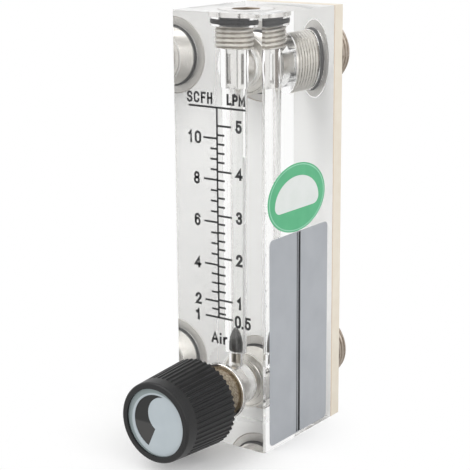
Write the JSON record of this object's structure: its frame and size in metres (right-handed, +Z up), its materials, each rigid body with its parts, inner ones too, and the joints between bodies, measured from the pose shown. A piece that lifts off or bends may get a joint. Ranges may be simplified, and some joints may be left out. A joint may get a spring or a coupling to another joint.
{
  "type": "panel rotameter",
  "caption": "Upright clear-block flow meter with a printed scale, a float in a tapered bore, threaded rear ports and a fluted needle-valve knob in front.",
  "frame": {"origin": "middle of the clear block's base face", "axes": "+Z up along the metering tube; the scale face and knob look towards -Y; the ports leave towards +Y"},
  "size_m": [0.0302, 0.0806, 0.12],
  "materials": {
    "clear_acrylic": "polished, clear",
    "cream_plate": "satin",
    "nickelled_brass": "nickel plated, turned",
    "stem_steel": "turned",
    "float_dark": "smooth",
    "black_rubber": "smooth",
    "knob_black": "satin moulded",
    "cap_grey": "satin",
    "mark_dark": "satin",
    "label_silver": "satin film",
    "sticker_green": "printed film"
  },
  "bodies": {
    "root": {"meter_body": "clear_acrylic", "back_plate": "cream_plate", "outlet_fitting": "nickelled_brass", "inlet_fitting": "nickelled_brass", "top_plug": "nickelled_brass", "upper_float_stop": "nickelled_brass", "float_seat": "nickelled_brass", "valve_bonnet": "nickelled_brass", "valve_seat": "nickelled_brass", "side_label": "label_silver", "inspection_sticker": "sticker_green", "outlet_o_ring": "black_rubber", "inlet_o_ring": "black_rubber", "top_plug_o_ring": "black_rubber", "bonnet_o_ring": "black_rubber"},
    "float_body": {"float": "float_dark"},
    "stem_carriage": {"stem_o_ring": "black_rubber"},
    "valve_spindle": {"knob": "knob_black", "knob_cap": "cap_grey", "knob_pointer": "mark_dark", "knob_screw": "stem_steel", "valve_stem": "stem_steel"}
  },
  "joints": [
    {"name": "float_rise", "type": "slide", "parent": "root", "child": "float_body", "axis": [0, 0, 1], "range_m": [0, 0.068]},
    {"name": "stem_travel", "type": "slide", "parent": "root", "child": "stem_carriage", "axis": [0, -1, 0], "range_m": [0, 0.00375]},
    {"name": "knob_turn", "type": "hinge", "parent": "stem_carriage", "child": "valve_spindle", "pos_m": [0, -0.017, 0.015], "axis": [0, -1, 0], "range_deg": [0, 1800]}
  ],
  "couplings": [
    {"joint": "stem_travel", "follows": "knob_turn", "m_per_rad": 0.00011937}
  ]
}
